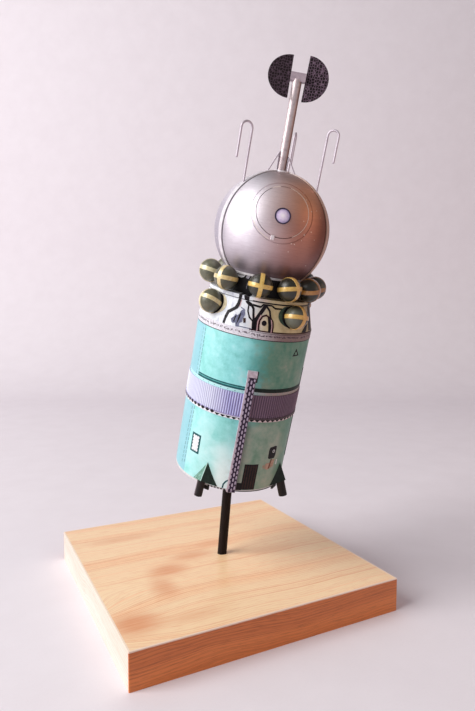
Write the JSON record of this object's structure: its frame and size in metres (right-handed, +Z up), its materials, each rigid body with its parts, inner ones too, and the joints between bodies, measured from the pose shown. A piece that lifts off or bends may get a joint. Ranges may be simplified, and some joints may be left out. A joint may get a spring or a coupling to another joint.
{
  "type": "display model of an early crewed spacecraft on its upper stage",
  "caption": "Card display model of a ball-shaped spacecraft on a green upper stage with gas bottles, aerials and vanes, leaning on a rod over a wooden block.",
  "frame": {"origin": "middle of the wooden block's underside", "axes": "+Z up; +X along the block's front edge, +Y from its front edge to its back edge; the model leans towards -Y"},
  "size_m": [0.15, 0.15, 0.289],
  "materials": {
    "block_wood": "satin",
    "rod_black": "satin",
    "tank_card": "satin",
    "ring_card": "satin",
    "band_card": "satin",
    "duct_card": "satin",
    "fairing_card": "satin",
    "nozzle_black": "satin",
    "cone_card": "satin",
    "drum_card": "satin",
    "seat_card": "satin",
    "bottle_paint": "satin",
    "bottle_tape": "satin",
    "ball_silver": "satin",
    "strap_silver": "satin",
    "bezel_black": "satin",
    "lens_pearl": "gloss",
    "mast_metal": "polished",
    "wire_steel": "satin",
    "bar_card": "matt",
    "vane_card": "satin"
  },
  "bodies": {
    "root": {"band_hem": "band_card", "bottle_straps": "bottle_tape", "bottom_disc": "ring_card", "cable_duct": "duct_card", "capsule_ball": "ball_silver", "capsule_seat": "seat_card", "capsule_strap_1": "strap_silver", "capsule_strap_2": "strap_silver", "capsule_strap_3": "strap_silver", "cone_rim": "seat_card", "cross_bar": "bar_card", "crown": "strap_silver", "duct_cap": "duct_card", "gas_bottle_01": "bottle_paint", "gas_bottle_02": "bottle_paint", "gas_bottle_03": "bottle_paint", "gas_bottle_04": "bottle_paint", "gas_bottle_05": "bottle_paint", "gas_bottle_06": "bottle_paint", "gas_bottle_07": "bottle_paint", "gas_bottle_08": "bottle_paint", "gas_bottle_09": "bottle_paint", "gas_bottle_10": "bottle_paint", "gas_bottle_11": "bottle_paint", "gas_bottle_12": "bottle_paint", "gas_bottle_13": "bottle_paint", "gas_bottle_14": "bottle_paint", "hatch_hinge": "strap_silver", "hatch_lid": "ball_silver", "hook_aerial_1": "wire_steel", "hook_aerial_2": "wire_steel", "hook_aerial_3": "wire_steel", "instrument_cone": "cone_card", "mast": "mast_metal", "mast_struts": "wire_steel", "nozzle_fairing_1": "fairing_card", "nozzle_fairing_2": "fairing_card", "nozzle_fairing_3": "fairing_card", "nozzle_fairing_4": "fairing_card", "nozzle_tube_1": "nozzle_black", "nozzle_tube_2": "nozzle_black", "nozzle_tube_3": "nozzle_black", "nozzle_tube_4": "nozzle_black", "porthole_bezel": "bezel_black", "porthole_lens": "lens_pearl", "ribbed_band": "band_card", "rim_tabs": "nozzle_black", "stage_tank": "tank_card", "stand_board": "block_wood", "stand_edging_back": "block_wood", "stand_edging_front": "block_wood", "stand_edging_left": "block_wood", "stand_edging_right": "block_wood", "stand_rod": "rod_black", "top_ring": "ring_card", "vane_left": "vane_card", "vane_right": "vane_card", "waist_drum": "drum_card"}
  },
  "joints": []
}
